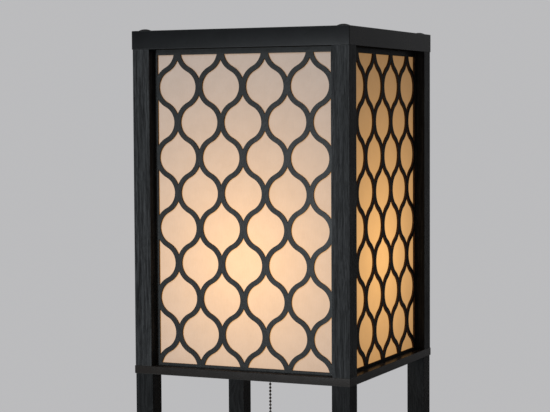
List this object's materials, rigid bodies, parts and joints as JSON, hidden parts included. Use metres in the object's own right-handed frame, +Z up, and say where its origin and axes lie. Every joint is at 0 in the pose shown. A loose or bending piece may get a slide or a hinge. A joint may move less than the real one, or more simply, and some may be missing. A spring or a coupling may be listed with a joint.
{
  "type": "shelf floor lamp",
  "caption": "Tall square floor lamp: a black post frame with open shelves under a four-sided shade of pierced ogee lattice over lit paper, with a pull-chain lampholder.",
  "frame": {"origin": "on the floor under the middle of the lamp", "axes": "+Z up along the posts, front towards -Y, the pull chain's side towards -X"},
  "size_m": [0.26, 0.26, 1.6025],
  "materials": {
    "black_grain_foil": "satin black wood-grain foil over fibreboard",
    "black_satin_rail": "smooth satin black",
    "black_lattice": "satin black paint on cut fibreboard",
    "shade_paper": "matt translucent paper, lit from behind",
    "black_batten": "matt black",
    "plain_dowel": "plain beech",
    "black_bolt": "black oxide",
    "zinc_steel": "bright zinc",
    "glide_plastic": "matt",
    "socket_metal": "brushed brass plate",
    "switch_moulding": "moulded black",
    "contact_brass": "bright",
    "lever_steel": "plain",
    "chain_metal": "blackened, half gloss",
    "frosted_glass": "frosted white",
    "bulb_base_metal": "plain",
    "bulb_tip_insulator": "glazed black with a dull contact",
    "stem_glass": "clear",
    "filament_metal": "plain wire"
  },
  "bodies": {
    "frame": {"base_rail_back": "black_satin_rail", "base_rail_front": "black_satin_rail", "base_rail_left": "black_satin_rail", "base_rail_right": "black_satin_rail", "centre_contact": "contact_brass", "chain_guide": "socket_metal", "cord_bushing": "glide_plastic", "crossbar": "black_satin_rail", "diffuser_back": "shade_paper", "diffuser_front": "shade_paper", "diffuser_left": "shade_paper", "diffuser_right": "shade_paper", "foot_glides": "glide_plastic", "foot_posts": "black_grain_foil", "frame_dowels": "plain_dowel", "lamp_pipe": "zinc_steel", "lattice_back": "black_lattice", "lattice_front": "black_lattice", "lattice_left": "black_lattice", "lattice_right": "black_lattice", "lever_pin": "lever_steel", "lower_posts": "black_grain_foil", "middle_posts": "black_grain_foil", "pipe_nuts": "zinc_steel", "pipe_washers": "zinc_steel", "post_inserts": "zinc_steel", "return_spring": "lever_steel", "screw_shell": "contact_brass", "shade_post_back_left": "black_grain_foil", "shade_post_back_right": "black_grain_foil", "shade_post_front_left": "black_grain_foil", "shade_post_front_right": "black_grain_foil", "shelf_lower": "black_grain_foil", "shelf_middle": "black_grain_foil", "shelf_upper": "black_grain_foil", "socket_cap": "socket_metal", "socket_shell": "socket_metal", "stop_battens": "black_batten", "switch_block": "switch_moulding", "terminal_screws": "contact_brass", "tie_studs": "zinc_steel", "top_bolts": "black_bolt", "top_rail_back": "black_satin_rail", "top_rail_front": "black_satin_rail", "top_rail_left": "black_satin_rail", "top_rail_right": "black_satin_rail", "upper_post_back_left": "black_grain_foil", "upper_post_back_right": "black_grain_foil", "upper_post_front_left": "black_grain_foil", "upper_post_front_right": "black_grain_foil"},
    "pull": {"pull_chain": "chain_metal", "chain_pendant": "chain_metal"},
    "lever": {"switch_lever": "lever_steel"},
    "rotor": {"contact_rotor": "contact_brass"},
    "bulb_tip": {"bulb_tip": "bulb_tip_insulator"},
    "bulb": {"bulb_glass": "frosted_glass", "bulb_base": "bulb_base_metal", "bulb_stem": "stem_glass", "bulb_filament": "filament_metal"}
  },
  "joints": [
    {"name": "chain_pull", "type": "slide", "parent": "frame", "child": "pull", "axis": [0, 0, -1], "range_m": [0, 0.01186], "stiffness_N_per_m": 400, "springref_m": -0.005, "deforming": ["return_spring"]},
    {"name": "lever_turn", "type": "hinge", "parent": "frame", "child": "lever", "pos_m": [-0.007, 0, 1.2517], "axis": [0, -1, 0], "range_deg": [0, 45]},
    {"name": "rotor_turn", "type": "hinge", "parent": "frame", "child": "rotor", "pos_m": [-0.007, 0, 1.2517], "axis": [0, -1, 0], "range_deg": [0, 45]},
    {"name": "bulb_lift", "type": "slide", "parent": "frame", "child": "bulb_tip", "axis": [0, 0, 1], "range_m": [0, 0.01452]},
    {"name": "bulb_turn", "type": "hinge", "parent": "bulb_tip", "child": "bulb", "pos_m": [0, 0, 1.2685], "axis": [0, 0, 1], "range_deg": [0, 1440]}
  ],
  "couplings": [
    {"joint": "lever_turn", "follows": "chain_pull", "rad_per_m": 66.2},
    {"joint": "rotor_turn", "follows": "chain_pull", "rad_per_m": 66.2},
    {"joint": "bulb_turn", "follows": "bulb_lift", "rad_per_m": 1731.4}
  ]
}
